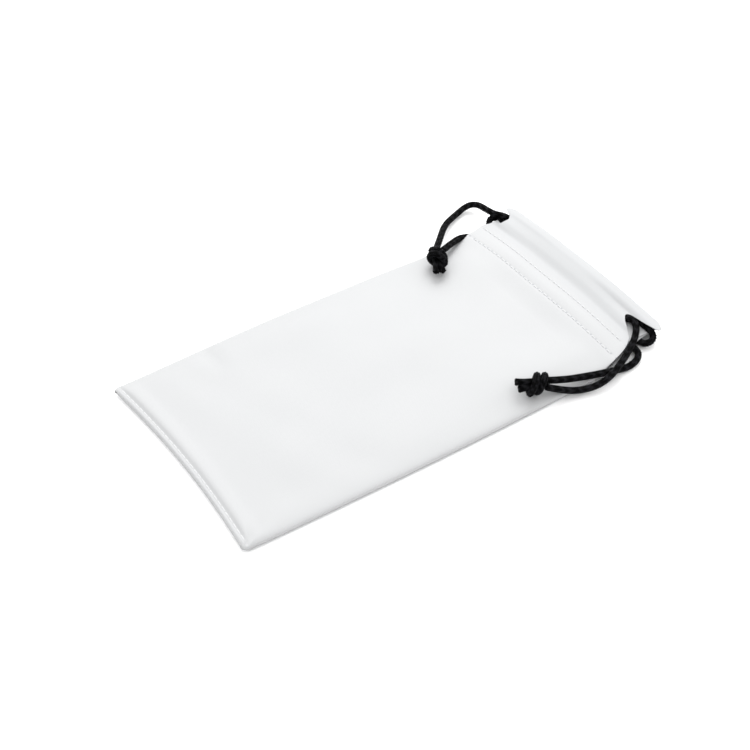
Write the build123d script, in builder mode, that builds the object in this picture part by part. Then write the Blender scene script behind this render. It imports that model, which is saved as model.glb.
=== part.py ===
"""Soft drawstring pouch for spectacles, lying flat, built in millimetres.

+X runs from the closed end to the mouth, +Z up. The origin is on the resting surface, under the middle
of the pouch. Each of the two cords runs through both tunnels, turns round one side of the mouth, and
has its two legs knotted together beyond the other side.
"""

from build123d import *
import os
from math import radians, tan

# Driving dimensions
LENGTH = 180.0
WIDTH = 92.0
CLOTH = 0.5
CORD = 2.8
HOLLOW = 4.5  # free height between the two panels
PARTING = 4.2  # free height between the two tunnels at the middle of the mouth

BODY_SHOULDER = 34.0
BODY_CROWN = 24.0
SIDE_RISE = 2.2  # underside of the front panel at its side edges
SHOULDER_RISE = 3.6
END_SLOPE = 28.0
END_DIP = 0.6  # the closed end's corners are this much lower
MOUTH_SLOPE_START = 40.0
SLIT_START = 58.0
SLIT_SHOULDER_RISE = 4.4
SLIT_CROWN = 17.0
SLIT_CROWN_RISE = 8.0

# Seams
SEAM_THICK = 4.0
SEAM_DEEP = 3.1
SEAM_ROUND = 0.8
SIDE_SEAM_WIDE = 2.4
SIDE_SEAM_THICK = 2.8
SIDE_SEAM_LIFT = 0.2
SIDE_SEAM_END = 62.0
GROOVE = 0.6
GROOVE_INSET = 0.2  # of the stitches in the groove
CLEAR = 0.3  # between neighbouring sub-parts

# Tunnels and hem
TUNNEL_WALL = 0.3
TUNNEL_THICK = 3.8
LANE_GAP = 0.1  # between the tunnels where they lie on each other
TUNNEL_START = 74.5
HEM_START = 66.0
TUNNEL_HALF = 44.0
CROWN_HALF = 9.0
SHOULDER_HALF = 33.0
BOW_RADIUS = 50.0

# Cords
NEAR_FRONT_X = 81.8
NEAR_BACK_X = 76.8
FAR_FRONT_X = 86.4
FAR_BACK_X = 82.6
LEG_START = 38.0
TURN_AT = 47.2
KNOT_RADIUS = 4.1
KNOT_WRAPS = 2
TAIL_START = 3.1  # from the knot's middle
TAIL_LONG = 4.6
TAIL_SPREAD = 1.6
TAIL_SPLAY = 0.12  # sideways for each unit along a tail
ARC_SHARE = 0.45  # of the shorter run, used up by each arc
TURN_SHARE = 0.49  # of the height between the tunnels, taken by each arc of a turn

# Stitches
STITCH_LONG = 2.0
STITCH_WIDE = 0.5
STITCH_THICK = 0.25
STITCH_PITCH = 3.0
STITCH_INSET = 0.8
STITCH_CLEAR = 0.2
SEAM_STITCHES_HALF = 42.0

# Worked out
mouth = LENGTH / 2
closed_end = -LENGTH / 2
seam_inside = closed_end + SEAM_DEEP
panel_start = seam_inside + CLEAR
panel_half = WIDTH / 2 - SIDE_SEAM_WIDE - CLEAR
panel_end = HEM_START - CLEAR
back_lane = TUNNEL_THICK / 2
front_lane = TUNNEL_THICK * 1.5 + LANE_GAP

os.makedirs("parts", exist_ok=True)


def save(piece, name):
    """Label a finished sub-part and write it."""
    piece.label = name
    export_step(piece, f"parts/{name}.step")


# Back panel: the flat cloth that lies on the surface
with BuildPart() as back_panel:
    with BuildSketch(Plane.XY):
        with Locations(((panel_start + panel_end) / 2, 0)):
            Rectangle(panel_end - panel_start, 2 * panel_half)
    extrude(amount=CLOTH)
save(back_panel.part, "back_panel")


# Front panel: cloth puffed over the hollow, and raised at the hem to the middle of the mouth
def front_section(x, edge, shoulder, crown):
    """One cross-section of the front panel, from three (half width, underside height) pairs."""
    right = [edge, shoulder, crown]
    under = [(-y, z) for y, z in right] + [(y, z) for y, z in reversed(right)]
    over = [(y, z + CLOTH) for y, z in reversed(under)]
    with BuildSketch(Plane(origin=(x, 0, 0), x_dir=(0, 1, 0), z_dir=(1, 0, 0))) as section:
        with BuildLine():
            Polyline(*under, *over, close=True)
        make_face()
    return section.sketch


under_hem = front_lane + CLEAR
body_top = CLOTH + HOLLOW
end_ridge = SEAM_THICK - 2 * CLOTH
end_crown = end_ridge + END_DIP / 2
body = [(panel_half, SIDE_RISE), (BODY_SHOULDER, SHOULDER_RISE), (BODY_CROWN, body_top)]
at_end = [(panel_half, end_ridge - END_DIP), (BODY_SHOULDER, end_ridge), (BODY_CROWN, end_crown)]
at_slit = [
    (panel_half, SIDE_RISE),
    (BODY_SHOULDER, SLIT_SHOULDER_RISE),
    (SLIT_CROWN, SLIT_CROWN_RISE),
]
at_hem = [
    (panel_half, under_hem),
    (SHOULDER_HALF, under_hem),
    (CROWN_HALF, under_hem + PARTING),
]
sections = [
    front_section(panel_start, *at_end),
    front_section(closed_end + END_SLOPE, *body),
    front_section(MOUTH_SLOPE_START, *body),
    front_section(SLIT_START, *at_slit),
    front_section(panel_end, *at_hem),
]
with BuildPart() as front_panel:
    loft(sections, ruled=True)
save(front_panel.part, "front_panel")

# Seam across the closed end, with the groove between its two turned edges
with BuildPart() as bottom_seam:
    with BuildSketch(Plane.XZ.offset(-WIDTH / 2)):
        with Locations((closed_end + SEAM_DEEP / 2, SEAM_THICK / 2)):
            RectangleRounded(SEAM_DEEP, SEAM_THICK, SEAM_ROUND)
        with Locations((closed_end, SEAM_THICK / 2)):
            Circle(GROOVE, mode=Mode.SUBTRACT)
    extrude(amount=WIDTH)
save(bottom_seam.part, "bottom_seam")

# Stitches seen in the groove of the closed end's seam
with BuildPart() as bottom_seam_stitches:
    seam_stitches = int(2 * SEAM_STITCHES_HALF / STITCH_PITCH)
    with BuildSketch(Plane.YZ.offset(closed_end + GROOVE_INSET)):
        with Locations((0, SEAM_THICK / 2)):
            with GridLocations(STITCH_PITCH, 1, seam_stitches, 1):
                Rectangle(STITCH_LONG, STITCH_WIDE)
    extrude(amount=STITCH_THICK)
save(bottom_seam_stitches.part, "bottom_seam_stitches")

# Side seams: each swings inwards about its round end at the closed corner when the mouth gathers
side_seam_middle = WIDTH / 2 - SIDE_SEAM_WIDE / 2
pivot_x = panel_start + SIDE_SEAM_WIDE / 2 + CLEAR / 2
for side, y in (("near", -side_seam_middle), ("far", side_seam_middle)):
    with BuildPart() as side_seam:
        with BuildSketch(Plane.XY.offset(SIDE_SEAM_LIFT)):
            with Locations((pivot_x, y)):
                Circle(SIDE_SEAM_WIDE / 2)
            with Locations(((pivot_x + SIDE_SEAM_END) / 2, y)):
                Rectangle(SIDE_SEAM_END - pivot_x, SIDE_SEAM_WIDE)
        extrude(amount=SIDE_SEAM_THICK)
    save(side_seam.part, f"{side}_side_seam")


# Tunnels: a flat tube for the cords along the rim, and the hem's flap sewn to the panel
def tunnel_section(plane, flap_low):
    """A tunnel's cross-section about the middle of its height, its flap's underside at flap_low."""
    with BuildSketch(plane) as section:
        with Locations(((TUNNEL_START + mouth) / 2, 0)):
            Rectangle(mouth - TUNNEL_START, TUNNEL_THICK)
        with Locations(((HEM_START + TUNNEL_START) / 2, flap_low + CLOTH / 2)):
            Rectangle(TUNNEL_START - HEM_START, CLOTH)
        with Locations(((TUNNEL_START + mouth) / 2, 0)):
            Rectangle(
                mouth - TUNNEL_START - 2 * TUNNEL_WALL,
                TUNNEL_THICK - 2 * TUNNEL_WALL,
                mode=Mode.SUBTRACT,
            )
    return section.sketch


def bowed(start, end, x):
    """The points of a line across the front tunnel at x, from y = start to y = end."""
    raised = front_lane + PARTING
    middle = [(-SHOULDER_HALF, front_lane), (-CROWN_HALF, raised), (CROWN_HALF, raised)]
    heights = [(start, front_lane), *middle, (SHOULDER_HALF, front_lane), (end, front_lane)]
    return [(x, y, z) for y, z in heights]


with BuildPart() as front_tunnel:
    with BuildLine() as bow:
        FilletPolyline(*bowed(-TUNNEL_HALF, TUNNEL_HALF, 0), radius=BOW_RADIUS)
    near_end = Plane(origin=(0, -TUNNEL_HALF, front_lane), x_dir=(1, 0, 0), z_dir=(0, -1, 0))
    sweep(tunnel_section(near_end, CLEAR), path=bow.line)
save(front_tunnel.part, "front_tunnel")

with BuildPart() as back_tunnel:
    far_end = Plane(origin=(0, TUNNEL_HALF, back_lane), x_dir=(1, 0, 0), z_dir=(0, -1, 0))
    extrude(tunnel_section(far_end, -back_lane), amount=2 * TUNNEL_HALF)
save(back_tunnel.part, "back_tunnel")


# Stitch rows along the hem and along the tunnel's inner edge, in front and at the back
def stitch_row(x, line):
    """Stitches at x on the straight stretches of a line of (y, z) points."""
    for (y0, z0), (y1, z1) in zip(line, line[1:]):
        slope = Vector(0, y1 - y0, z1 - z0)
        middle = ((y0 + y1) / 2, (z0 + z1) / 2)
        along = Plane(
            origin=(x, middle[0], middle[1]), x_dir=slope, z_dir=Vector(0, z0 - z1, y1 - y0)
        )
        count = int((slope.length - STITCH_LONG) / STITCH_PITCH)
        with BuildSketch(along) as stitches:
            with GridLocations(STITCH_PITCH, 1, count, 1):
                Rectangle(STITCH_LONG, STITCH_WIDE)
        extrude(stitches.sketch, amount=STITCH_THICK)


hem_row = HEM_START + STITCH_INSET
tunnel_row = TUNNEL_START - STITCH_INSET
flap_top = CLEAR + CLOTH + STITCH_CLEAR
front_line = [(y, z + flap_top) for _, y, z in bowed(-TUNNEL_HALF, TUNNEL_HALF, 0)]
back_line = [(y, CLOTH + STITCH_CLEAR) for y in (-TUNNEL_HALF, TUNNEL_HALF)]
rows = {
    "front_hem_stitches": (hem_row, front_line),
    "front_tunnel_stitches": (tunnel_row, front_line),
    "back_hem_stitches": (hem_row, back_line),
    "back_tunnel_stitches": (tunnel_row, back_line),
}
for name, (x, line) in rows.items():
    with BuildPart() as row:
        stitch_row(x, line)
    save(row.part, name)


# Cords
def arc_radii(points):
    """The arc radius at each inner point of a route."""
    radii = []
    for a, b, c in zip(points, points[1:], points[2:]):
        before = Vector(*b) - Vector(*a)
        after = Vector(*c) - Vector(*b)
        half_turn = radians(before.get_angle(after)) / 2
        radii.append(ARC_SHARE * min(before.length, after.length) / tan(half_turn))
    return radii


def cord_tube(name, points, radii=None):
    """A cord's solid along straight runs joined by tangent arcs. Prints its length and radii."""
    radii = radii or arc_radii(points)
    heading = Vector(*points[1]) - Vector(*points[0])
    with BuildPart() as tube:
        with BuildLine() as route:
            FilletPolyline(*points, radius=radii)
        with BuildSketch(Plane(origin=points[0], z_dir=heading)):
            Circle(CORD / 2)
        sweep()
    length = sum(edge.length for edge in route.edges())
    section = Plane.XY * Circle(CORD / 2)
    share = tube.part.volume / (section.area * length)
    rounded = [round(r, 1) for r in radii]
    print(f"{name}: length {length:.1f}, volume share {share:.4f}, radii {rounded}")
    save(tube.part, name)


def cord_loop(name, front_x, back_x, side):
    """The held part of a cord: along the front tunnel, round at one side (1 is far), and back."""
    front = [(x, side * y, z) for x, y, z in bowed(-LEG_START, TURN_AT, front_x)]
    turn = (back_x, side * TURN_AT, back_lane)
    end = (back_x, -side * LEG_START, back_lane)
    points = [*front, turn, end]
    turn_radius = TURN_SHARE * (Vector(*front[-1]) - Vector(*turn)).length
    radii = [BOW_RADIUS] * (len(front) - 2) + [turn_radius, turn_radius]
    cord_tube(name, points, radii)


cord_loop("near_cord_loop", NEAR_FRONT_X, NEAR_BACK_X, 1)
cord_loop("far_cord_loop", FAR_FRONT_X, FAR_BACK_X, -1)

# The free legs, from inside the tunnels' ends to the knots
near_upper_leg = [
    (NEAR_FRONT_X, -LEG_START, front_lane),
    (NEAR_FRONT_X, -44.5, front_lane),
    (76.0, -48.0, 5.4),
    (67.5, -49.6, 5.0),
    (58.0, -52.8, 4.7),
    (48.5, -52.0, 3.0),
    (41.0, -48.8, 4.8),
    (34.4, -45.9, 7.2),
]
near_lower_leg = [
    (NEAR_BACK_X, -LEG_START, back_lane),
    (NEAR_BACK_X, -45.5, back_lane),
    (72.8, -49.6, 1.5),
    (65.5, -49.4, 1.5),
    (57.5, -48.0, 2.9),
    (49.5, -47.5, 4.9),
    (42.0, -45.4, 6.8),
    (35.2, -42.6, 8.5),
]
far_upper_leg = [
    (FAR_FRONT_X, LEG_START, front_lane),
    (FAR_FRONT_X, 45.0, front_lane),
    (83.4, 51.8, 4.4),
    (78.0, 57.6, 2.0),
    (70.6, 56.4, 1.5),
    (62.6, 51.4, 3.6),
    (54.8, 44.6, 6.4),
    (45.3, 36.7, 8.8),
]
far_lower_leg = [
    (FAR_BACK_X, LEG_START, back_lane),
    (FAR_BACK_X, 45.6, back_lane),
    (80.4, 51.2, 1.5),
    (74.2, 52.2, 1.5),
    (67.6, 48.8, 2.4),
    (61.0, 45.2, 5.4),
    (54.8, 40.2, 7.6),
    (48.0, 34.5, 9.5),
]
cord_tube("near_cord_upper_leg", near_upper_leg)
cord_tube("near_cord_lower_leg", near_lower_leg)
cord_tube("far_cord_upper_leg", far_upper_leg)
cord_tube("far_cord_lower_leg", far_lower_leg)


# Knots: both legs of a cord tied together, with two short tails
def knot(name, middle, towards_legs):
    """A knot as two fat wraps round the legs' direction."""
    wrap_long = KNOT_RADIUS * 2 / KNOT_WRAPS
    core = KNOT_RADIUS - wrap_long / 2
    with BuildPart() as wraps:
        with BuildSketch(Plane(origin=middle, x_dir=towards_legs, z_dir=(0, 0, 1))):
            with BuildLine():
                Line((-KNOT_RADIUS, core), (-KNOT_RADIUS, 0))
                Line((-KNOT_RADIUS, 0), (KNOT_RADIUS, 0))
                Line((KNOT_RADIUS, 0), (KNOT_RADIUS, core))
                for n in range(KNOT_WRAPS):
                    start = -KNOT_RADIUS + n * wrap_long
                    ThreePointArc(
                        (start, core), (start + wrap_long / 2, KNOT_RADIUS), (start + wrap_long, core)
                    )
            make_face()
        revolve(axis=Axis(middle, towards_legs))
    save(wraps.part, name)


def tails(name, middle, towards_legs):
    """The two cut ends that leave a knot away from its legs, side by side."""
    away = -Vector(*towards_legs).normalized()
    sideways = away.cross(Vector(0, 0, 1)).normalized()
    with BuildPart() as ends:
        for turn in (-1, 1):
            start = Vector(*middle) + away * TAIL_START + sideways * (turn * TAIL_SPREAD)
            heading = away + sideways * (turn * TAIL_SPLAY)
            with BuildSketch(Plane(origin=start, z_dir=heading)):
                Circle(CORD / 2)
            extrude(amount=TAIL_LONG)
    save(ends.part, name)


NEAR_KNOT = (31.6, -43.2, 7.9)
NEAR_KNOT_LEGS = (0.86, -0.34, 0.0)
FAR_KNOT = (44.4, 32.8, 9.3)
FAR_KNOT_LEGS = (0.62, 0.78, 0.0)
knot("near_knot", NEAR_KNOT, NEAR_KNOT_LEGS)
tails("near_cord_tails", NEAR_KNOT, NEAR_KNOT_LEGS)
knot("far_knot", FAR_KNOT, FAR_KNOT_LEGS)
tails("far_cord_tails", FAR_KNOT, FAR_KNOT_LEGS)
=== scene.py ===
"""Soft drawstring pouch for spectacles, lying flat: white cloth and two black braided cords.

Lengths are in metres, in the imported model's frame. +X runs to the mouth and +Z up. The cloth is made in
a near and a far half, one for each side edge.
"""

import math

import bpy
import numpy as np
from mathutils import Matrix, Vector


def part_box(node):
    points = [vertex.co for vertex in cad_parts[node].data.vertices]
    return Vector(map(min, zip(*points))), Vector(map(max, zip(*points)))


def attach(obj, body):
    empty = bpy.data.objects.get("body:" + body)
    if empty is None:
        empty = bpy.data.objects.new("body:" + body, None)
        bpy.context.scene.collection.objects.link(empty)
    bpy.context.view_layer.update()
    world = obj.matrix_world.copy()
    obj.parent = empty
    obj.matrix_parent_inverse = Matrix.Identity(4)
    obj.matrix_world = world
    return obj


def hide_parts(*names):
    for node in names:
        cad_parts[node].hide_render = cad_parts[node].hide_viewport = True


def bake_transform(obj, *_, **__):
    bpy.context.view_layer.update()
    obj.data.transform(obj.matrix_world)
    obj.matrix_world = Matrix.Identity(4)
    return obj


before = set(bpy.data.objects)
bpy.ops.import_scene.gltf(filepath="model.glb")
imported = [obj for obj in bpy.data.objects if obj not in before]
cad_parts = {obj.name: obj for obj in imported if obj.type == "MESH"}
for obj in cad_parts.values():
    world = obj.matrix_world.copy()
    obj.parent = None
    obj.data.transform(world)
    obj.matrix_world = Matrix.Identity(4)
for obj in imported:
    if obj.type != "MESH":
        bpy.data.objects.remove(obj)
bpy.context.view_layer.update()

# Sizes from the frame
closed_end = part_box("bottom_seam")[0].x
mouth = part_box("front_tunnel")[1].x
hem_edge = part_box("front_tunnel")[0].x


def middle_x(node):
    """The place of a node's middle along X."""
    low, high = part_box(node)
    return (low.x + high.x) / 2


hem_row = middle_x("front_hem_stitches")
tunnel_row = middle_x("front_tunnel_stitches")

# Camera
VIEW_AZIMUTH = math.radians(35.0)
VIEW_ELEVATION = math.radians(44.1)
VIEW_DISTANCE = 0.519
VIEW_TARGET = Vector((-0.0077, 0.0005, 0))
VIEW_LENS = 68.4

# Light
SKY_LOW = 0.10
SKY_HIGH = 1.67
SKY_FULL = 0.70
WINDOW_POWER = 7.4
FILL_POWER = 0.8

# Cloth
CLOTH = 0.0004
SEAM_HIGH = 0.0012
END_SEAM_HIGH = 0.0021

# Cords
CORD_RADIUS = 0.0014
STRANDS_EACH_WAY = 8
STRAND_RADIUS = 0.00032
STRAND_RELIEF = 0.00025
BRAID_TURN = 0.0066

# Stitches
STITCH_LONG = 0.0021
STITCH_WIDE = 0.00044
STITCH_RISE = 0.00016
STITCH_PITCH = 0.0028
ROW_DIP = 0.00018
ROW_END_CLEAR = 0.0030

# Half the width from the pouch's middle to a side edge, given to each half of the cloth
BLEND_HALF = 0.0450


# Nodes
class Value:
    """A node's output, usable in sums with numbers and other outputs."""

    def __init__(self, tree, socket):
        self.tree = tree
        self.socket = socket

    def math(self, operation, first, second=0.0):
        return self.tree.node("ShaderNodeMath", {"operation": operation}, {0: first, 1: second})[0]

    def __add__(self, other):
        return self.math("ADD", self, other)

    def __sub__(self, other):
        return self.math("SUBTRACT", self, other)

    def __mul__(self, other):
        return self.math("MULTIPLY", self, other)

    def __truediv__(self, other):
        return self.math("DIVIDE", self, other)

    def __radd__(self, other):
        return self.math("ADD", other, self)

    def __rsub__(self, other):
        return self.math("SUBTRACT", other, self)

    def __rmul__(self, other):
        return self.math("MULTIPLY", other, self)

    def __mod__(self, other):
        return self.math("FLOORED_MODULO", self, other)

    def sine(self):
        return self.math("SINE", self)

    def cosine(self):
        return self.math("COSINE", self)

    def floor(self):
        return self.math("FLOOR", self)

    def power(self, other):
        return self.math("POWER", self, other)

    def near(self, place, reach):
        """1 at a place, down to 0 at a reach from it."""
        off = self.math("ABSOLUTE", self - place) / reach
        return self.math("MAXIMUM", 1 - off, 0.0)


class Outputs:
    """A made node's outputs, by name or number."""

    def __init__(self, tree, node):
        self.tree = tree
        self.node = node

    def __getitem__(self, key):
        return Value(self.tree, self.node.outputs[key])


class Tree:
    """A node tree with one method that adds any node."""

    def __init__(self, node_tree):
        self.node_tree = node_tree

    def node(self, kind, settings=None, sockets=None):
        made = self.node_tree.nodes.new(kind)
        for name, value in (settings or {}).items():
            setattr(made, name, value)
        for key, value in (sockets or {}).items():
            if isinstance(value, Value):
                self.node_tree.links.new(value.socket, made.inputs[key])
            else:
                made.inputs[key].default_value = value
        return Outputs(self, made)

    def mixed(self, factor, first, second):
        """One of two colours, or between them."""
        first = first if isinstance(first, Value) else (*first, 1)
        colours = {0: factor, 6: first, 7: (*second, 1)}
        return self.node("ShaderNodeMix", {"data_type": "RGBA"}, colours)[2]

    def vector(self, operation, *values):
        return self.node("ShaderNodeVectorMath", {"operation": operation}, dict(enumerate(values)))[0]

    def scaled(self, vector, by):
        return self.node("ShaderNodeVectorMath", {"operation": "SCALE"}, {0: vector, "Scale": by})[0]


def new_material(name):
    """A material with its tree and its Principled shader."""
    material = bpy.data.materials.new(name)
    material.use_nodes = True
    tree = Tree(material.node_tree)
    return material, tree, material.node_tree.nodes["Principled BSDF"]


def feed(tree, shader, **values):
    """Set or link the shader's sockets, their names written with underscores."""
    for name, value in values.items():
        socket = shader.inputs[name.replace("_", " ")]
        if isinstance(value, Value):
            tree.node_tree.links.new(value.socket, socket)
        else:
            socket.default_value = value


def bumped(tree, height, distance, strength=1.0):
    """A normal from a height of 0 to 1 over a distance."""
    sockets = {"Height": height, "Distance": distance, "Strength": strength}
    return tree.node("ShaderNodeBump", None, sockets)["Normal"]


# Materials
def cloth_finish():
    """Fine microfibre: a faint close weave, a soft nap, a little unevenness, painted shade over the tunnel
    and painted shade in the needle holes.
    """
    material, tree, shader = new_material("white_microfibre")
    place = tree.node("ShaderNodeTexCoord")["UV"]
    parts = tree.node("ShaderNodeSeparateXYZ", None, {0: place})
    threads_per_metre = 2600
    turn = threads_per_metre * math.pi
    weave = (parts[0] * turn).sine() * (parts[1] * turn).sine()
    nap = tree.node("ShaderNodeTexNoise", None, {"Vector": place, "Scale": 900.0, "Detail": 3.0})["Fac"]
    drift = tree.node("ShaderNodeTexNoise", None, {"Vector": place, "Scale": 45.0, "Detail": 2.0})["Fac"]
    rest = tree.node("ShaderNodeAttribute", {"attribute_name": "rest"})["Vector"]
    rest = tree.node("ShaderNodeSeparateXYZ", None, {0: rest})
    # Painted shade: the cloth from the tunnel row up to the rim is made darker, for the shade on the
    # tunnel's slope.
    tunnel = rest[0].near((tunnel_row + mouth) / 2, (mouth - tunnel_row) / 2) * 2.0
    tunnel = tunnel.math("MINIMUM", tunnel, 1.0)
    # Painted shade: dark dots between the stitches of the hem row, fainter on the tunnel row, for the shade
    # in the needle holes.
    hole_reach = 0.0006
    rows = rest[0].near(hem_row, hole_reach) + 0.4 * rest[0].near(tunnel_row, hole_reach)
    needle_hole_shade = rows * (rest[1] % STITCH_PITCH).near(STITCH_PITCH / 2, hole_reach)
    feed(
        tree,
        shader,
        Base_Color=tree.mixed(
            needle_hole_shade,
            tree.mixed(0.6 * drift + tunnel, (0.444, 0.448, 0.452), (0.420, 0.426, 0.432)),
            (0.25, 0.26, 0.28),
        ),
        Roughness=0.55 + 0.15 * nap,
        Sheen_Weight=0.15,
        Sheen_Roughness=0.4,
        Normal=bumped(tree, 0.3 * weave + nap, 0.00004, 0.5),
    )
    return material


def thread_finish():
    """White sewing thread with its twist."""
    material, tree, shader = new_material("white_thread")
    place = tree.node("ShaderNodeTexCoord")["Object"]
    fibres = tree.node("ShaderNodeTexNoise", None, {"Vector": place, "Scale": 6000.0})["Fac"]
    feed(
        tree,
        shader,
        Base_Color=tree.mixed(fibres, (0.53, 0.535, 0.54), (0.61, 0.615, 0.62)),
        Roughness=0.5 + 0.2 * fibres,
        Sheen_Weight=0.2,
        Normal=bumped(tree, fibres, 0.00004, 0.6),
    )
    return material


def cord_finish():
    """Black polyester braid: fine filaments along each strand, a soft shine, painted highlights on the
    strands' crowns and painted shade where they pass under.
    """
    material, tree, shader = new_material("black_polyester_braid")
    around = tree.node("ShaderNodeAttribute", {"attribute_name": "around"})["Fac"]
    # Painted highlight and shade: the colour is lighter where a strand rides over and black where it passes
    # under.
    painted_glint = tree.node("ShaderNodeAttribute", {"attribute_name": "painted_glint"})["Fac"]
    place = tree.node("ShaderNodeTexCoord")["Object"]
    uneven = tree.node("ShaderNodeTexNoise", None, {"Vector": place, "Scale": 1400.0, "Detail": 2.0})["Fac"]
    filaments_round = 5
    filaments = 0.5 + 0.5 * (around * (2 * math.pi * filaments_round) + uneven * 4.0).sine()
    feed(
        tree,
        shader,
        Base_Color=tree.mixed(
            painted_glint.power(3.0) * (0.6 + 0.4 * filaments), (0.0003, 0.0003, 0.0004), (0.022, 0.022, 0.025)
        ),
        Roughness=0.30 + 0.16 * uneven,
        Specular_IOR_Level=0.04,
        Normal=bumped(tree, filaments + uneven, 0.00005, 0.6),
    )
    return material


def floor_finish():
    """A plain white table."""
    material, tree, shader = new_material("white_table")
    feed(tree, shader, Base_Color=(0.98, 0.98, 0.98, 1), Roughness=0.9)
    return material


CLOTH_FINISH = cloth_finish()
THREAD_FINISH = thread_finish()
CORD_FINISH = cord_finish()
FLOOR_FINISH = floor_finish()


# Camera, light and floor
def add_camera():
    """A camera that looks down at the pouch from its near side, towards the mouth."""
    towards = Vector(
        (
            math.sin(VIEW_AZIMUTH) * math.cos(VIEW_ELEVATION),
            math.cos(VIEW_AZIMUTH) * math.cos(VIEW_ELEVATION),
            -math.sin(VIEW_ELEVATION),
        )
    )
    camera = bpy.data.objects.new("camera", bpy.data.cameras.new("camera"))
    camera.location = VIEW_TARGET - towards * VIEW_DISTANCE
    camera.rotation_euler = towards.to_track_quat("-Z", "Y").to_euler()
    camera.data.lens = VIEW_LENS
    camera.data.clip_start = 0.01
    bpy.context.collection.objects.link(camera)
    bpy.context.scene.camera = camera


def add_light(name, place, size, power):
    """A square light that faces the middle of the pouch."""
    light = bpy.data.lights.new(name, "AREA")
    light.size = size
    light.energy = power
    obj = bpy.data.objects.new(name, light)
    obj.location = place
    obj.rotation_euler = (-Vector(place)).to_track_quat("-Z", "Y").to_euler()
    bpy.context.collection.objects.link(obj)


def add_sky():
    """Even white light from above that falls off towards the horizon."""
    world = bpy.data.worlds.new("white_room")
    world.use_nodes = True
    tree = Tree(world.node_tree)
    direction = tree.node("ShaderNodeTexCoord")["Generated"]
    up = tree.node("ShaderNodeSeparateXYZ", None, {0: direction})[2]
    sockets = {"Value": up, "From Max": SKY_FULL, "To Min": SKY_LOW, "To Max": SKY_HIGH}
    rise = tree.node("ShaderNodeMapRange", None, sockets)[0]
    background = world.node_tree.nodes["Background"]
    background.inputs["Color"].default_value = (1, 1, 1, 1)
    world.node_tree.links.new(rise.socket, background.inputs["Strength"])
    bpy.context.scene.world = world


def add_stage():
    """The light and a wide plain table."""
    add_sky()
    bpy.context.scene.view_settings.view_transform = "Standard"
    add_light("window", (0.5, 0.55, 0.75), 0.7, WINDOW_POWER)
    add_light("fill", (-0.6, -0.2, 0.9), 0.8, FILL_POWER)
    mesh = bpy.data.meshes.new("floor")
    reach = 3.0
    corners = [(-reach, -reach, 0), (reach, -reach, 0), (reach, reach, 0), (-reach, reach, 0)]
    mesh.from_pydata(corners, [], [(0, 1, 2, 3)])
    mesh.materials.append(FLOOR_FINISH)
    floor = bpy.data.objects.new("floor", mesh)
    bpy.context.collection.objects.link(floor)


add_camera()
add_stage()


# Meshes
def add_object(name, data):
    """A new object in the scene."""
    obj = bpy.data.objects.new(name, data)
    bpy.context.collection.objects.link(obj)
    return obj


def grown(name, mesh, tree, values):
    """A new plain mesh object, grown from a mesh by a node tree with the named input values."""
    seed = add_object(f"{name}_seed", mesh)
    modifier = seed.modifiers.new("grow", "NODES")
    modifier.node_group = tree.node_tree
    for item in tree.node_tree.interface.items_tree:
        if item.item_type == "SOCKET" and item.name in values:
            modifier[item.identifier] = values[item.name]
    bpy.context.view_layer.update()
    evaluated = seed.evaluated_get(bpy.context.evaluated_depsgraph_get())
    made = bpy.data.meshes.new_from_object(evaluated)
    bpy.data.objects.remove(seed)
    made.name = name
    return add_object(name, made)


def new_growth(name, numbers):
    """A node tree with a geometry input, named number inputs and a last step, as (tree, inputs, end)."""
    group = bpy.data.node_groups.new(name, "GeometryNodeTree")
    group.interface.new_socket("Geometry", in_out="INPUT", socket_type="NodeSocketGeometry")
    group.interface.new_socket("Geometry", in_out="OUTPUT", socket_type="NodeSocketGeometry")
    for number, kind in numbers.items():
        group.interface.new_socket(number, in_out="INPUT", socket_type=kind)
    tree = Tree(group)
    inputs = tree.node("NodeGroupInput")

    def end(finish, *parts):
        joined = tree.node("GeometryNodeJoinGeometry")
        for part in parts:
            group.links.new(part.socket, joined.node.inputs[0])
        smooth = tree.node("GeometryNodeSetShadeSmooth", None, {"Geometry": joined[0]})[0]
        real = tree.node("GeometryNodeRealizeInstances", None, {"Geometry": smooth})[0]
        dressed = tree.node("GeometryNodeSetMaterial", None, {"Geometry": real, "Material": finish})[0]
        tree.node("NodeGroupOutput", None, {0: dressed})

    return tree, inputs, end


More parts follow.
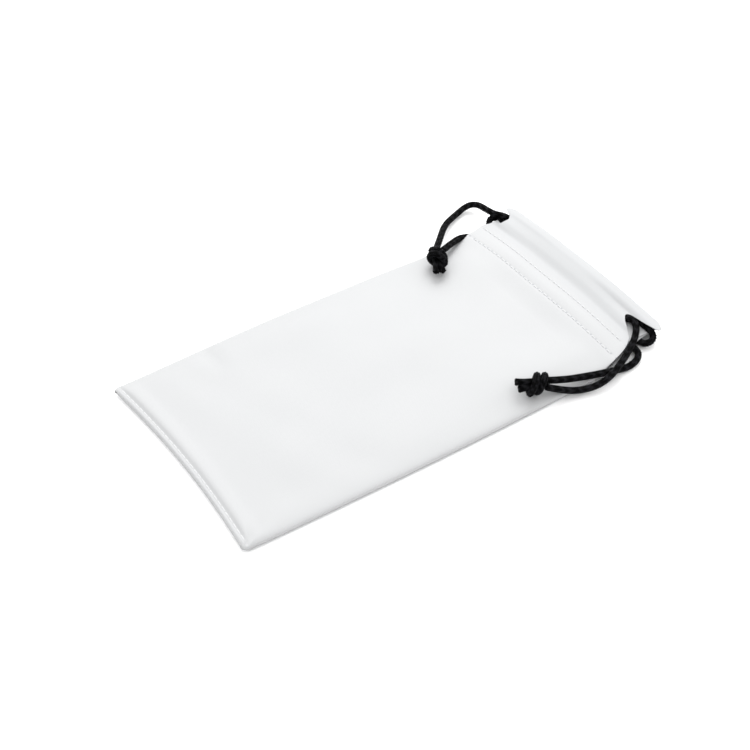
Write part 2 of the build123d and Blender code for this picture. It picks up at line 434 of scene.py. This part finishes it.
# Braided cord: two sets of strands wind opposite ways and pass over two and under two
def braid_growth():
    """The node tree that grows a braid, with its core, along a line."""
    numbers = {
        "Cord Radius": "NodeSocketFloat",
        "Strand Radius": "NodeSocketFloat",
        "Relief": "NodeSocketFloat",
        "Strands Each Way": "NodeSocketInt",
        "Turn": "NodeSocketFloat",
        "Step": "NodeSocketFloat",
        "Flare": "NodeSocketFloat",
    }
    tree, inputs, end = new_growth("braid", numbers)
    line = tree.node("GeometryNodeMeshToCurve", None, {0: inputs["Geometry"]})[0]
    line = tree.node(
        "GeometryNodeResampleCurve", {"mode": "LENGTH"}, {"Curve": line, "Length": inputs["Step"]}
    )[0]
    line = tree.node("GeometryNodeSetCurveNormal", {"mode": "MINIMUM_TWIST"}, {"Curve": line})[0]
    copies = tree.node(
        "GeometryNodeDuplicateElements",
        {"domain": "SPLINE"},
        {"Geometry": line, "Amount": inputs["Strands Each Way"] * 2},
    )
    index = copies["Duplicate Index"]
    way = 1 - 2 * (index % 2.0)
    strand = (index / 2.0).floor()
    travel = tree.node("GeometryNodeSplineParameter")["Length"] / inputs["Turn"]
    crossings = travel * inputs["Strands Each Way"] * 2
    angle = way * travel * math.tau + strand * math.tau / inputs["Strands Each Way"]
    beat = (2 * strand + way * crossings) * (math.pi / 2) - math.pi / 4
    relief = way * inputs["Relief"] * beat.cosine()
    radius = inputs["Cord Radius"] - inputs["Strand Radius"] - inputs["Relief"] + relief
    radius = radius * (1 + inputs["Flare"] * tree.node("GeometryNodeSplineParameter")["Factor"].power(7.0))
    normal = tree.node("GeometryNodeInputNormal")["Normal"]
    tangent = tree.node("GeometryNodeInputTangent")["Tangent"]
    side = tree.vector("CROSS_PRODUCT", tangent, normal)
    out = tree.vector(
        "ADD", tree.scaled(normal, angle.cosine() * radius), tree.scaled(side, angle.sine() * radius)
    )
    strands = tree.node("GeometryNodeSetPosition", None, {"Geometry": copies["Geometry"], "Offset": out})[0]
    # Painted highlight: a value that is high where a strand rides over and low where it passes under, which
    # lightens the cord's colour on its crowns.
    strands = tree.node(
        "GeometryNodeStoreNamedAttribute",
        {"data_type": "FLOAT", "domain": "POINT"},
        {"Geometry": strands, "Name": "painted_glint", "Value": 0.5 + 0.5 * way * beat.cosine()},
    )[0]
    profile = tree.node(
        "GeometryNodeCurvePrimitiveCircle", None, {"Resolution": 6, "Radius": inputs["Strand Radius"]}
    )[0]
    profile = tree.node(
        "GeometryNodeStoreNamedAttribute",
        {"data_type": "FLOAT", "domain": "POINT"},
        {
            "Geometry": profile,
            "Name": "around",
            "Value": tree.node("GeometryNodeSplineParameter")["Factor"],
        },
    )[0]
    sheath = tree.node(
        "GeometryNodeCurveToMesh", None, {"Curve": strands, "Profile Curve": profile, "Fill Caps": True}
    )[0]
    core_profile = tree.node(
        "GeometryNodeCurvePrimitiveCircle",
        None,
        {"Resolution": 12, "Radius": inputs["Cord Radius"] - inputs["Strand Radius"] * 2.2},
    )[0]
    core = tree.node(
        "GeometryNodeCurveToMesh", None, {"Curve": line, "Profile Curve": core_profile, "Fill Caps": True}
    )[0]
    end(CORD_FINISH, sheath, core)
    return tree


BRAID = braid_growth()


def smooth_path(route):
    """The points of the smooth line that has the route's points as its control points."""
    curve = bpy.data.curves.new("route", "CURVE")
    curve.dimensions = "3D"
    curve.resolution_u = 24
    spline = curve.splines.new("NURBS")
    spline.points.add(len(route) - 1)
    for point, place in zip(spline.points, route):
        point.co = (*place, 1)
    spline.order_u = 3
    spline.use_endpoint_u = True
    obj = add_object("route", curve)
    bpy.context.view_layer.update()
    mesh = bpy.data.meshes.new_from_object(obj.evaluated_get(bpy.context.evaluated_depsgraph_get()))
    path = [tuple(vertex.co) for vertex in mesh.vertices]
    bpy.data.objects.remove(obj)
    bpy.data.meshes.remove(mesh)
    return path


def braided(name, path, radius=CORD_RADIUS, step=0.00025, flare=0.0):
    """A braided cord along a path."""
    mesh = bpy.data.meshes.new(name)
    mesh.from_pydata(path, [(i, i + 1) for i in range(len(path) - 1)], [])
    share = radius / CORD_RADIUS
    values = {
        "Cord Radius": radius,
        "Strand Radius": STRAND_RADIUS * share,
        "Relief": STRAND_RELIEF * share,
        "Strands Each Way": STRANDS_EACH_WAY,
        "Turn": BRAID_TURN,
        "Step": step,
        "Flare": flare,
    }
    return grown(name, mesh, BRAID, values)


def finish_cord(piece, body, *nodes):
    """A cord piece rides on its cord's body and stands for its CAD nodes."""
    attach(piece, body)
    if nodes:
        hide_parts(*nodes)
    return piece


# Routes of the cords: each leg runs from inside its tunnel to its knot
NEAR_UPPER_LEG = [
    (0.0820, -0.0270, 0.0050),
    (0.0830, -0.0318, 0.0049),
    (0.0842, -0.0350, 0.0064),
    (0.0834, -0.0386, 0.0066),
    (0.0798, -0.0424, 0.0056),
    (0.0745, -0.0455, 0.0050),
    (0.0675, -0.0490, 0.0047),
    (0.0590, -0.0522, 0.0042),
    (0.0530, -0.0524, 0.0031),
    (0.0464, -0.0504, 0.0026),
    (0.0400, -0.0483, 0.0046),
    (0.0340, -0.0455, 0.0074),
]
NEAR_LOWER_LEG = [
    (0.0768, -0.0380, 0.0019),
    (0.0784, -0.0450, 0.0019),
    (0.0764, -0.0488, 0.0015),
    (0.0700, -0.0506, 0.0015),
    (0.0640, -0.0492, 0.0020),
    (0.0566, -0.0486, 0.0038),
    (0.0493, -0.0472, 0.0052),
    (0.0422, -0.0455, 0.0064),
    (0.0352, -0.0430, 0.0080),
]
FAR_UPPER_LEG = [
    (0.0864, 0.0300, 0.0052),
    (0.0860, 0.0372, 0.0054),
    (0.0846, 0.0412, 0.0062),
    (0.0822, 0.0450, 0.0058),
    (0.0820, 0.0510, 0.0050),
    (0.0822, 0.0560, 0.0038),
    (0.0796, 0.0590, 0.0025),
    (0.0724, 0.0574, 0.0017),
    (0.0634, 0.0530, 0.0034),
    (0.0552, 0.0450, 0.0060),
    (0.0470, 0.0372, 0.0084),
]
FAR_LOWER_LEG = [
    (0.0826, 0.0340, 0.0019),
    (0.0822, 0.0378, 0.0019),
    (0.0790, 0.0396, 0.0018),
    (0.0740, 0.0396, 0.0018),
    (0.0700, 0.0410, 0.0022),
    (0.0660, 0.0424, 0.0030),
    (0.0620, 0.0418, 0.0044),
    (0.0560, 0.0388, 0.0066),
    (0.0490, 0.0354, 0.0086),
]
NEAR_LOOP = [
    NEAR_UPPER_LEG[0],
    (0.0820, -0.0200, 0.0052),
    (0.0818, 0.0000, 0.0052),
    (0.0820, 0.0340, 0.0046),
    (0.0838, 0.0440, 0.0036),
    (0.0822, 0.0468, 0.0026),
    (0.0796, 0.0446, 0.0019),
    (0.0768, 0.0380, 0.0019),
    (0.0768, 0.0000, 0.0019),
    NEAR_LOWER_LEG[0],
]
FAR_LOOP = [
    FAR_UPPER_LEG[0],
    (0.0866, 0.0200, 0.0052),
    (0.0866, 0.0000, 0.0052),
    (0.0866, -0.0380, 0.0052),
    (0.0868, -0.0447, 0.0048),
    (0.0846, -0.0466, 0.0034),
    (0.0816, -0.0447, 0.0019),
    (0.0824, -0.0380, 0.0019),
    (0.0826, 0.0000, 0.0019),
    FAR_LOWER_LEG[0],
]


# Knots: both ends of a cord, with one wrap and a half of the cord round them
KNOT_WRAP = 0.0030
KNOT_LEAN = 0.42
KNOT_PITCH = 0.0029
KNOT_TURNS = 1.5
TAIL_LONG = 0.0076
TAIL_RADIUS = 0.0013


def knot_frame(towards):
    """Unit directions of a knot: to its legs, to the viewer's side and across."""
    along = Vector(towards).normalized()
    facing = Vector((-0.41, -0.59, 0.70))
    facing = (facing - along * facing.dot(along)).normalized()
    return along, facing, along.cross(facing)


def wrap_route(centre, towards):
    """Round the cord's ends from the legs' side to the tails' side, with both ends tucked in."""
    along, facing, across = knot_frame(towards)
    steps = round(KNOT_TURNS * 8)
    route = []
    for i in range(-1, steps + 2):
        angle = -math.pi / 2 + i * math.tau / 8
        tucked = i in (-1, steps + 1)
        radius = KNOT_WRAP * (0.35 if tucked else 0.96 + 0.16 * i / steps)
        reach = KNOT_PITCH * (KNOT_TURNS / 2 - i / 8) - radius * KNOT_LEAN * math.sin(angle)
        out = facing * math.cos(angle) + across * math.sin(angle)
        route.append(tuple(Vector(centre) + along * reach + out * radius))
    return route


def tail_route(centre, towards, outward, spread):
    """A cord end through the knot and out on the far side from the legs."""
    across = knot_frame(towards)[2]
    route = []
    for t in (0.0, 0.35, 0.7, 1.0):
        aside = across * (spread * (0.8 + 0.3 * t * t))
        route.append(tuple(Vector(centre) + Vector(outward).normalized() * (TAIL_LONG * t) + aside))
    return route


def tie_knot(side, centre, towards, outward):
    """The wraps and the two cord ends of one knot."""
    body = f"{side}_cord"
    wraps = braided(f"{side}_wraps", smooth_path(wrap_route(centre, towards)))
    finish_cord(wraps, body, f"{side}_knot")
    made = [wraps]
    for end, spread, share in (("left", -0.0012, 1.0), ("right", 0.0012, 0.93)):
        path = smooth_path(tail_route(centre, towards, outward, spread))
        path = path[: int(len(path) * share)]
        tail = braided(f"{side}_tail_{end}", path, radius=TAIL_RADIUS, flare=0.22)
        finish_cord(tail, body, f"{side}_cord_tails")
        made.append(tail)
    return made


near_knot = tie_knot("near", (0.0318, -0.0430, 0.0082), (0.86, -0.34, 0.0), (-0.88, 0.42, 0.04))
far_knot = tie_knot("far", (0.0442, 0.0324, 0.0090), (0.62, 0.78, 0.0), (-0.50, -0.86, -0.12))

for side, loop_route, upper_route, lower_route, knot in (
    ("near", NEAR_LOOP, NEAR_UPPER_LEG, NEAR_LOWER_LEG, near_knot),
    ("far", FAR_LOOP, FAR_UPPER_LEG, FAR_LOWER_LEG, far_knot),
):
    body = f"{side}_cord"
    loop = braided(f"{side}_held_loop", smooth_path(loop_route), step=0.0004)
    finish_cord(loop, body, f"{side}_cord_loop")
    for leg, route, goes_with in (("upper", upper_route, knot), ("lower", lower_route, ())):
        path = smooth_path(route)
        piece = finish_cord(braided(f"{side}_{leg}_leg", path), body, f"{side}_cord_{leg}_leg")


# Cloth: shapes from rules
def smooth(t):
    """0 to 1 without corners."""
    t = np.clip(t, 0, 1)
    return t * t * (3 - 2 * t)


def through(x, points):
    """A smooth line through (place, value) points, at x. It never swings past a point's value."""
    at, value = np.array(points, float).T
    step = np.diff(value) / np.diff(at)
    before, after = step[:-1], step[1:]
    same_way = before * after > 0
    slope = np.concatenate([step[:1], np.zeros(len(before)), step[-1:]])
    slope[1:-1][same_way] = 2 * before[same_way] * after[same_way] / (before + after)[same_way]
    i = np.clip(np.searchsorted(at, x) - 1, 0, len(at) - 2)
    gap = at[i + 1] - at[i]
    t = np.clip((x - at[i]) / gap, 0, 1)
    start = (2 * t**3 - 3 * t**2 + 1) * value[i] + (t**3 - 2 * t**2 + t) * gap * slope[i]
    return start + (3 * t**2 - 2 * t**3) * value[i + 1] + (t**3 - t**2) * gap * slope[i + 1]


def lower_of(a, b, rounding):
    """The lower of two heights, rounded where they meet."""
    return (a + b - np.sqrt((a - b) ** 2 + rounding**2)) / 2


def near_half(x):
    """How far the near seam is from the middle."""
    return 0.0436 + 0.0047 * np.sin(np.pi / 2 * np.clip((x - closed_end) / 0.142, 0, 1))


def far_half(x):
    """How far the far seam is from the middle."""
    points = [
        (closed_end, 0.0462),
        (-0.052, 0.0464),
        (-0.028, 0.0462),
        (0.000, 0.0451),
        (0.025, 0.0440),
        (0.040, 0.0429),
        (0.052, 0.0421),
        (0.066, 0.0418),
    ]
    return through(x, points)


OPEN_FROM = 0.056
NEAR_FRONT_END = [
    (0.0520, 0.0483),
    (0.0580, 0.0479),
    (0.0645, 0.0468),
    (0.0680, 0.0460),
    (0.0723, 0.0446),
    (0.0770, 0.0418),
    (0.0795, 0.0378),
    (0.0815, 0.0343),
    (0.0835, 0.0326),
    (0.0848, 0.0342),
    (0.0853, 0.0385),
    (0.0860, 0.0425),
    (0.0866, 0.0452),
    (0.0874, 0.0465),
    (mouth, 0.0466),
]
FAR_FRONT_END = [
    (0.0520, 0.0421),
    (0.0600, 0.0417),
    (0.0680, 0.0418),
    (0.0740, 0.0424),
    (0.0768, 0.0418),
    (0.0785, 0.0400),
    (0.0805, 0.0378),
    (0.0835, 0.0374),
    (0.0854, 0.0388),
    (0.0864, 0.0414),
    (0.0872, 0.0430),
    (mouth, 0.0432),
]
NEAR_BACK_END = [
    (0.0520, 0.0481),
    (0.0600, 0.0466),
    (0.0700, 0.0448),
    (0.0770, 0.0438),
    (0.0855, 0.0426),
    (mouth, 0.0430),
]
FAR_BACK_END = [(0.0520, 0.0421), (0.0640, 0.0418), (0.0760, 0.0424), (mouth, 0.0432)]


def half_of(x, seam_half, open_end):
    """The half width of a sheet: along the seam, then along its own end at the open mouth."""
    return np.where(x < OPEN_FROM, seam_half(x), through(x, open_end))


def corner_cut(inward):
    """How much the rounded closed corners take off the half width, at a distance from the closed end."""
    rounding = 0.0018
    t = np.clip(1 - inward / rounding, 0, 1)
    return rounding * (1 - np.sqrt(1 - t**2)) * 0.9


def closed_line(across):
    """The closed end's place along X. It is drawn in a little at the middle."""
    return closed_end + 0.0024 * (1 - across**2) ** 1.1


def seam_height(inward):
    """Height of the seam line at a distance from the closed end."""
    return SEAM_HIGH + (END_SEAM_HIGH - SEAM_HIGH) * np.exp(-inward / 0.006)


def front_crown(x):
    """Height of the front's outer face along the middle."""
    return through(
        x,
        [
            (closed_end, 0.0051),
            (0.0, 0.0051),
            (0.045, 0.0052),
            (0.060, 0.0054),
            (hem_row, 0.0058),
            (0.0705, 0.0063),
            (tunnel_row, 0.0061),
            (0.0780, 0.0059),
            (0.0822, 0.0073),
            (0.0850, 0.0080),
            (0.0870, 0.0084),
            (mouth, 0.0083),
        ],
    )


def front_bow(x):
    """How much higher the front stands at the middle of the mouth."""
    return through(x, [(0.0, 0.0), (0.045, 0.0002), (tunnel_row, 0.0006), (0.083, 0.0009), (mouth, 0.0012)])


def front_edge(x):
    """Height of the front's outer face at its free ends, beside the slits."""
    return through(
        x,
        [
            (0.0520, 0.0029),
            (0.0580, 0.0031),
            (0.0645, 0.0040),
            (0.0680, 0.0044),
            (0.0723, 0.0047),
            (0.0780, 0.0053),
            (0.0800, 0.0064),
            (0.0822, 0.0071),
            (0.0848, 0.0073),
            (0.0868, 0.0075),
            (mouth, 0.0073),
        ],
    )


def ripples(x, y):
    """Soft unevenness of cloth that lies loose, with a broad fold across the closed half."""
    fold = (x + 0.049) * 0.94 + (y + 0.0072) * 0.34
    return (
        0.00030 * np.sin(x * 95 + y * 60 + 0.6)
        + 0.00024 * np.sin(x * 41 - y * 118 + 2.1)
        + 0.00014 * np.sin(x * 170 + y * 20 + 4.0)
        + 0.00012 * np.sin(x * 30 + y * 210 + 1.0)
        - 0.00070 * np.exp(-((fold / 0.009) ** 2))
    )


def row_dips(x):
    """The cloth drawn down along the two rows of stitches."""
    return -ROW_DIP * sum(np.exp(-(((x - row) / 0.0007) ** 2)) for row in (hem_row, tunnel_row))


def creases(x, y, e):
    """A short crease at the far side and small pleats at the near closed corner."""
    crease = -0.0009 * np.exp(-(((x + 0.0537) / 0.0030) ** 2)) * smooth((y - 0.026) / 0.014)
    corner = np.hypot(e, y + 0.0440)
    turn = np.arctan2(y + 0.0440, e + 0.0001)
    pleats = 0.00022 * np.sin(7 * turn) * np.exp(-((corner / 0.011) ** 2)) * smooth(corner / 0.003)
    return crease + pleats


# Turned edges, as (inset from the outermost line, height): a share of the full height, but metres in END_LIP
SIDE_LIP = [(0.00035, 0.0), (0.00008, 0.035), (0.0, 0.13), (0.0001, 0.23)]
END_LIP = [(0.0005, 0.0), (0.0001, 0.0003), (0.0, 0.0008), (0.0001, 0.0012)]
BACK_SIDE_LIP = [(0.00035, 1.0), (0.0001, 0.93), (0.0, 0.80), (0.0001, 0.67)]
BACK_END_LIP = [(0.0005, 1.0), (0.0001, 0.9), (0.0, 0.7), (0.00015, 0.4)]
LIP = len(SIDE_LIP)


def side_share(d):
    """The front's share of its full height, at a distance from the side."""
    points = [
        (0.0001, 0.23),
        (0.00045, 0.33),
        (0.001, 0.41),
        (0.002, 0.50),
        (0.004, 0.61),
        (0.007, 0.74),
        (0.011, 0.88),
        (0.016, 0.96),
        (0.024, 1.0),
        (0.060, 1.0),
    ]
    return through(d, points)


def end_rise(e):
    """The front's height above the seam, at a distance from the closed end: an edge, a valley, the body."""
    points = [
        (0.0001, 0.0012),
        (0.0005, 0.0016),
        (0.0010, 0.0017),
        (0.0018, 0.0011),
        (0.0026, 0.0018),
        (0.0038, 0.0024),
        (0.0050, 0.0025),
        (0.0080, 0.0021),
        (0.013, 0.0024),
        (0.021, 0.0030),
        (0.034, 0.0034),
        (0.060, 0.0036),
        (0.3, 0.0036),
    ]
    return through(e, points)


def back_side_share(d):
    """The back's share of the seam's height, at a distance from the side."""
    points = [
        (0.0001, 0.67),
        (0.0005, 0.57),
        (0.0015, 0.40),
        (0.003, 0.2),
        (0.005, 0.05),
        (0.008, 0),
        (0.06, 0),
    ]
    return through(d, points)


def back_end_share(e):
    """The back's share of the seam's height, at a distance from the closed end."""
    return through(e, [(0.00015, 0.4), (0.0006, 0.17), (0.0015, 0.05), (0.003, 0.0), (0.3, 0.0)])


def graded(start, stop, first_step, growth, largest):
    """Distances from start to stop whose steps grow."""
    places, step = [start], first_step
    while places[-1] + step < stop:
        places.append(places[-1] + step)
        step = min(step * growth, largest)
    return [*places, stop]


REFERENCE_HALF = 0.046
insets = graded(0.0003, REFERENCE_HALF, 0.0002, 1.18, 0.0016)
along = [
    *graded(0.0004, 0.144, 0.0002, 1.15, 0.0025),
    *np.arange(0.1447, 0.1785, 0.0004),
]


def lipped(lip, rest, share_of):
    """Insets and shares: the turned edge's own points, then points on the sheet."""
    inset = np.array([d for d, _ in lip] + list(rest))
    share = np.concatenate([[s for _, s in lip], share_of(np.array(rest))])
    return inset, share


def plan(end_inset, side_inset, side, seam_half, open_end):
    """The grid's places across the table, as (x, y, e, d, open share)."""
    plain_side = np.concatenate([np.linspace(0, 0.00025, LIP), side_inset[LIP:]])
    e, _ = np.meshgrid(end_inset, side_inset, indexing="ij")
    straight_x = closed_end + e
    opened = smooth((straight_x - OPEN_FROM) / 0.010)
    d = side_inset[None, :] * (1 - opened) + plain_side[None, :] * opened
    half = half_of(straight_x, seam_half, open_end) - corner_cut(e)
    across = 1 - d / REFERENCE_HALF
    fade = smooth(1 - e / 0.08)
    x = straight_x + (closed_line(np.clip(across, 0, 1)) - closed_end) * fade
    return x, side * half * across, e, d * half / REFERENCE_HALF, opened


def front_heights(x, y, e, d, opened, end_heights, side_shares):
    """Height of the front's outer face at the grid's places."""
    seam = seam_height(e)
    crown = front_crown(x) + front_bow(x) * (1 - (y / REFERENCE_HALF) ** 2)
    closed = seam + lower_of((crown - seam) * side_shares[None, :], end_heights[:, None], 0.0004)
    closed = np.where(end_heights[:, None] <= 0, seam, closed)
    closed = np.where(side_shares[None, :] <= 0, seam, closed)
    edge = front_edge(x)
    opens = edge + (crown - edge) * (1 - np.clip(1 - d / 0.030, 0, 1) ** 2)
    settled = smooth((d - 0.001) / 0.012) * smooth((e - 0.006) / 0.02) * (1 - 0.6 * opened)
    loose = ripples(x, y) * settled + row_dips(x) * smooth(d / 0.002)
    return closed * (1 - opened) + opens * opened + loose + creases(x, y, e) * smooth(d / 0.002)


FOLD_GAP = 2.4 * CLOTH  # from a sheet's outer face to the layer folded in behind it
RIM_DEEP = 0.0030
CORNER_DEEP = 0.0045
INNER_HALF = 0.0424
rim_turn = np.radians(np.arange(80, -81, -10))


def corner_share(d):
    """The rim's share of its depth, at a distance from the sheet's end: a quarter round, then all of it."""
    return np.sqrt(1 - np.clip(1 - d / CORNER_DEEP, 0, 1) ** 2)


def inner_rows(x):
    """The numbers of the sheet's rows from the mouth back to the hem's edge."""
    return range(len(x) - 1, int(np.searchsorted(x[:, -1], hem_edge)) - 1, -1)


def front_grid(side, seam_half, open_end):
    """The front's outward face: closed end, body, tunnel, round the rim and back to the hem's edge."""
    end_inset, end_heights = lipped(END_LIP, along, end_rise)
    side_inset, side_shares = lipped(SIDE_LIP, insets, side_share)
    x, y, e, d, opened = plan(end_inset, side_inset, side, seam_half, open_end)
    z = front_heights(x, y, e, d, opened, end_heights, side_shares)
    outer = np.stack([x, y, z], axis=-1)
    top = outer[-1]
    low = 0.0038 + 0.0004 * (1 - (top[:, 1] / REFERENCE_HALF) ** 2)
    centre, height = (top[:, 2] + low) / 2, (top[:, 2] - low) / 2
    drawn_in = INNER_HALF / np.abs(top[:, 1]).max() - 1
    rim = [
        np.stack(
            [
                top[:, 0] + RIM_DEEP * math.cos(a) * corner_share(d[-1]),
                top[:, 1] * (1 + drawn_in * (1 - math.sin(a)) / 2),
                centre + height * math.sin(a),
            ],
            axis=-1,
        )
        for a in rim_turn
    ]
    inner = []
    for i in inner_rows(x):
        pinch = smooth((x[i] - tunnel_row + 0.0002) / 0.0040)
        inner_y = y[i] * INNER_HALF / np.abs(y[i]).max()
        inner_z = (z[i] - FOLD_GAP) * (1 - pinch) + pinch * low
        inner.append(np.stack([x[i], inner_y, inner_z], axis=-1))
    return np.concatenate([outer, rim, inner])


def back_grid(side, seam_half, open_end):
    """The back's outward face: closed end, underside, round the rim and back to the hem's edge."""
    end_inset, end_shares = lipped(BACK_END_LIP, along, back_end_share)
    side_inset, side_shares = lipped(BACK_SIDE_LIP, insets, back_side_share)
    x, y, e, d, opened = plan(end_inset, side_inset, side, seam_half, open_end)
    flat = 1 - (1 - side_shares[None, :] * (1 - opened)) * (1 - end_shares[:, None])
    z = seam_height(e) * flat - 0.6 * row_dips(x) * smooth(d / 0.002)
    outer = np.stack([x, y, z], axis=-1)
    low = outer[-1]
    top = 0.0037
    rim = [
        np.stack(
            [
                low[:, 0] + RIM_DEEP * math.cos(a) * corner_share(d[-1]),
                low[:, 1],
                np.full(len(low), top / 2 * (1 - math.sin(a))),
            ],
            axis=-1,
        )
        for a in rim_turn
    ]
    inner = []
    for i in inner_rows(x):
        lift = smooth((x[i] - tunnel_row) / 0.0030)
        inner.append(np.stack([x[i], y[i], FOLD_GAP + (top - FOLD_GAP) * lift], axis=-1))
    return np.concatenate([outer, rim, inner])


def sheet_piece(name, grid, outward):
    """A closed sheet of cloth from its outward face's grid of points."""
    rows, columns = grid.shape[:2]
    normal = np.cross(np.gradient(grid, axis=0), np.gradient(grid, axis=1))
    normal /= np.maximum(np.linalg.norm(normal, axis=-1, keepdims=True), 1e-12)
    middle = (rows // 3, columns // 2)
    turned = normal[middle][2] * outward < 0
    if turned:
        normal = -normal
    points = np.concatenate([grid.reshape(-1, 3), (grid - normal * CLOTH).reshape(-1, 3)])
    number = np.arange(rows * columns).reshape(rows, columns)
    face = np.stack([number[:-1, :-1], number[1:, :-1], number[1:, 1:], number[:-1, 1:]], axis=-1)
    face = face.reshape(-1, 4)
    border = np.concatenate([number[:-1, 0], number[-1, :-1], number[:0:-1, -1], number[0, :0:-1]])
    after = np.roll(border, -1)
    inside = rows * columns
    edge_faces = np.stack([border, border + inside, after + inside, after], axis=-1)
    faces = np.concatenate([face, face[:, ::-1] + inside, edge_faces])
    if turned:
        faces = faces[:, ::-1]
    mesh = bpy.data.meshes.new(name)
    mesh.from_pydata(points.tolist(), [], faces.tolist())
    mesh.update()
    mesh.materials.append(CLOTH_FINISH)
    mesh.polygons.foreach_set("use_smooth", [True] * len(faces))
    pairs = {frozenset((a, b)) for a, b in zip(border.tolist(), after.tolist())}
    pairs |= {frozenset((a + inside, b + inside)) for a, b in zip(border.tolist(), after.tolist())}
    sharp = mesh.attributes.new("sharp_edge", "BOOLEAN", "EDGE")
    sharp.data.foreach_set("value", [frozenset(edge.vertices) in pairs for edge in mesh.edges])
    steps = np.linalg.norm(np.diff(grid[:, -1], axis=0), axis=-1)
    run = np.concatenate([[0], np.cumsum(steps)])
    u = np.repeat(run, columns)
    flat_uv = np.stack([u, grid[..., 1].ravel()], axis=-1)
    flat_uv = np.concatenate([flat_uv, flat_uv])
    rest = np.concatenate([grid.reshape(-1, 3), grid.reshape(-1, 3)])
    rest[:, 2] = 1
    mesh.attributes.new("rest", "FLOAT_VECTOR", "POINT").data.foreach_set("vector", rest.ravel())
    loops = np.zeros(len(mesh.loops), int)
    mesh.loops.foreach_get("vertex_index", loops)
    mesh.uv_layers.new(name="cloth").data.foreach_set("uv", flat_uv[loops].ravel())
    return add_object(name, mesh)


def follow_edge(piece, side):
    """The piece's placement is baked into its mesh."""
    sign = -1 if side == "near" else 1
    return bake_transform(piece, "pouch", f"{side}_edge", start=(0, 0, 0), end=(0, sign * BLEND_HALF, 0))


# Stitches: one arched thread on each point of a row
def stitch_growth():
    """The node tree that puts a stitch on each point of a line."""
    numbers = {
        "Length": "NodeSocketFloat",
        "Width": "NodeSocketFloat",
        "Rise": "NodeSocketFloat",
    }
    tree, inputs, end = new_growth("stitches", numbers)

    def place(along, up):
        return tree.node("ShaderNodeCombineXYZ", None, {"X": along, "Z": up})[0]

    arch = tree.node(
        "GeometryNodeCurveQuadraticBezier",
        None,
        {
            "Resolution": 8,
            "Start": place(inputs["Length"] * -0.5, inputs["Rise"] * -1.2),
            "Middle": place(inputs["Length"] * 0.0, inputs["Rise"] * 2.4),
            "End": place(inputs["Length"] * 0.5, inputs["Rise"] * -1.2),
        },
    )[0]
    profile = tree.node(
        "GeometryNodeCurvePrimitiveCircle", None, {"Resolution": 8, "Radius": inputs["Width"] * 0.5}
    )[0]
    stitch = tree.node(
        "GeometryNodeCurveToMesh", None, {"Curve": arch, "Profile Curve": profile, "Fill Caps": True}
    )[0]
    row = tree.node("GeometryNodeMeshToCurve", None, {0: inputs["Geometry"]})[0]
    tangent = tree.node("GeometryNodeInputTangent")["Tangent"]
    turned = tree.node("FunctionNodeAlignRotationToVector", {"axis": "X"}, {"Vector": tangent})[0]
    stitches = tree.node(
        "GeometryNodeInstanceOnPoints", None, {"Points": row, "Instance": stitch, "Rotation": turned}
    )[0]
    end(THREAD_FINISH, stitches)
    return tree


STITCHES = stitch_growth()


def stitch_row(name, grid, e, lift, outward):
    """A row of stitches on the sheet's face, at a distance from the closed end."""
    line = grid[LIP + int(np.argmin(np.abs(np.array(along) - e)))]
    line = line[np.argsort(np.abs(line[:, 1]))]
    reach = np.abs(line[:, 1])
    side = np.sign(line[-1, 1])
    places = np.arange(0 if side > 0 else STITCH_PITCH, reach[-1] - ROW_END_CLEAR, STITCH_PITCH)
    points = [
        (np.interp(y, reach, line[:, 0]), side * y, np.interp(y, reach, line[:, 2]) + lift) for y in places
    ]
    mesh = bpy.data.meshes.new(name)
    mesh.from_pydata(points, [(i, i + 1) for i in range(len(points) - 1)], [])
    values = {"Length": STITCH_LONG, "Width": STITCH_WIDE, "Rise": STITCH_RISE * outward}
    return grown(name, mesh, STITCHES, values)


SIDES = (
    ("near", -1, near_half, NEAR_FRONT_END, NEAR_BACK_END),
    ("far", 1, far_half, FAR_FRONT_END, FAR_BACK_END),
)
GROOVE = 0.0018
FRONT_LIFT = 0.00004
BACK_LIFT = 0.00021

for name, side, seam_half, front_end, back_end in SIDES:
    grids = {
        "front": front_grid(side, seam_half, front_end),
        "back": back_grid(side, seam_half, back_end),
    }
    for face, outward, nodes in (
        ("front", 1, ("front_panel", "front_tunnel")),
        ("back", -1, ("back_panel", "back_tunnel", "bottom_seam", f"{name}_side_seam")),
    ):
        cloth = sheet_piece(f"{face}_cloth_{name}", grids[face], outward)
        follow_edge(cloth, name)
        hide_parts(*nodes)
    for face, row, e, lift, outward, node in (
        ("front", "hem", hem_row - closed_end, FRONT_LIFT, 1, "front_hem_stitches"),
        ("front", "tunnel", tunnel_row - closed_end, FRONT_LIFT, 1, "front_tunnel_stitches"),
        ("front", "end", GROOVE, FRONT_LIFT, 1, "bottom_seam_stitches"),
        ("back", "hem", hem_row - closed_end, BACK_LIFT, -1, "back_hem_stitches"),
        ("back", "tunnel", tunnel_row - closed_end, BACK_LIFT, -1, "back_tunnel_stitches"),
    ):
        stitches = stitch_row(f"{face}_{row}_stitches_{name}", grids[face], e, lift, outward)
        follow_edge(stitches, name)
        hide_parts(node)
